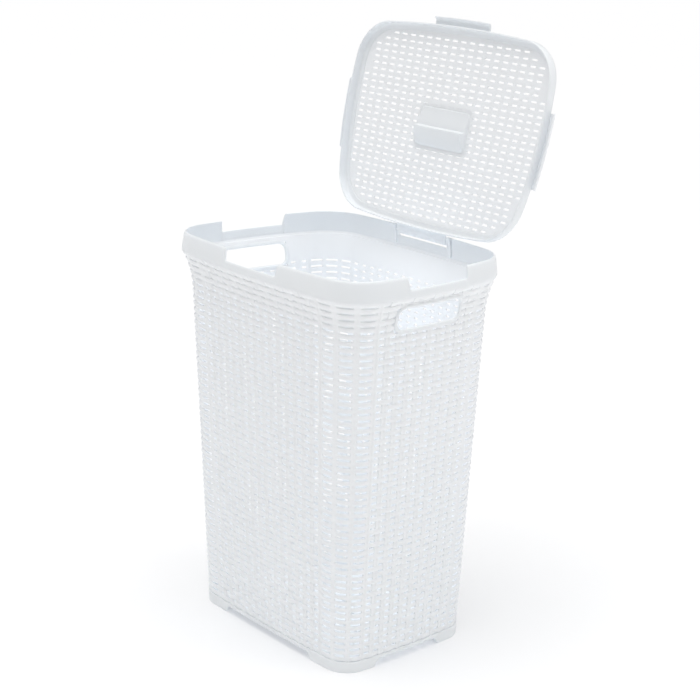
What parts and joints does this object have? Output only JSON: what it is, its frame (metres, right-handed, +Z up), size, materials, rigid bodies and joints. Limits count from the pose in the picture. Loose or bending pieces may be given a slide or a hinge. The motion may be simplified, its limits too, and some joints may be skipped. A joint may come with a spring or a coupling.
{
  "type": "laundry hamper",
  "caption": "Tall tapered laundry hamper with wicker-effect perforated walls, side hand holes, four short feet and a hinged perforated lid that stands open.",
  "frame": {"origin": "centre of the whole object's footprint, lid open, on the floor plane under the feet", "axes": "+Z up, +Y towards the hinge side, +X towards the right hand hole seen from the front; front faces -Y"},
  "size_m": [0.4656, 0.3992, 0.9189],
  "materials": {
    "floor": "white moulded polypropylene, satin",
    "foot_front_left": "white moulded polypropylene, satin",
    "foot_front_right": "white moulded polypropylene, satin",
    "foot_back_left": "white moulded polypropylene, satin",
    "foot_back_right": "white moulded polypropylene, satin",
    "corner_front_left": "white moulded polypropylene, satin",
    "corner_front_right": "white moulded polypropylene, satin",
    "corner_back_left": "white moulded polypropylene, satin",
    "corner_back_right": "white moulded polypropylene, satin",
    "panel_front": "white moulded polypropylene, satin",
    "panel_back": "white moulded polypropylene, satin",
    "panel_left": "white moulded polypropylene, satin",
    "panel_right": "white moulded polypropylene, satin",
    "handle_frame_left": "white moulded polypropylene, satin",
    "handle_frame_right": "white moulded polypropylene, satin",
    "rim_corner_front_left": "white moulded polypropylene, satin",
    "rim_corner_front_right": "white moulded polypropylene, satin",
    "rim_corner_back_left": "white moulded polypropylene, satin",
    "rim_corner_back_right": "white moulded polypropylene, satin",
    "rim_rail_front": "white moulded polypropylene, satin",
    "rim_rail_back": "white moulded polypropylene, satin",
    "rim_rail_left": "white moulded polypropylene, satin",
    "rim_rail_right": "white moulded polypropylene, satin",
    "hinge_boss_left": "white moulded polypropylene, satin",
    "hinge_boss_right": "white moulded polypropylene, satin",
    "lid_frame": "white moulded polypropylene, satin",
    "lid_panel": "white moulded polypropylene, satin",
    "lid_grip": "white moulded polypropylene, satin",
    "lip_front": "white moulded polypropylene, satin",
    "lip_left": "white moulded polypropylene, satin",
    "lip_right": "white moulded polypropylene, satin",
    "hinge_flap": "white moulded polypropylene, satin",
    "hinge_pin_left": "white moulded polypropylene, satin",
    "hinge_pin_right": "white moulded polypropylene, satin"
  },
  "bodies": {
    "basket": {"floor": "floor", "foot_front_left": "foot_front_left", "foot_front_right": "foot_front_right", "foot_back_left": "foot_back_left", "foot_back_right": "foot_back_right", "corner_front_left": "corner_front_left", "corner_front_right": "corner_front_right", "corner_back_left": "corner_back_left", "corner_back_right": "corner_back_right", "panel_front": "panel_front", "panel_back": "panel_back", "panel_left": "panel_left", "panel_right": "panel_right", "handle_frame_left": "handle_frame_left", "handle_frame_right": "handle_frame_right", "rim_corner_front_left": "rim_corner_front_left", "rim_corner_front_right": "rim_corner_front_right", "rim_corner_back_left": "rim_corner_back_left", "rim_corner_back_right": "rim_corner_back_right", "rim_rail_front": "rim_rail_front", "rim_rail_back": "rim_rail_back", "rim_rail_left": "rim_rail_left", "rim_rail_right": "rim_rail_right", "hinge_boss_left": "hinge_boss_left", "hinge_boss_right": "hinge_boss_right"},
    "lid": {"lid_frame": "lid_frame", "lid_panel": "lid_panel", "lid_grip": "lid_grip", "lip_front": "lip_front", "lip_left": "lip_left", "lip_right": "lip_right", "hinge_flap": "hinge_flap", "hinge_pin_left": "hinge_pin_left", "hinge_pin_right": "hinge_pin_right"}
  },
  "joints": [
    {"name": "lid_hinge", "type": "hinge", "parent": "basket", "child": "lid", "pos_m": [0, 0.1294, 0.5923], "axis": [1, 0, 0], "range_deg": [0, 103]}
  ]
}
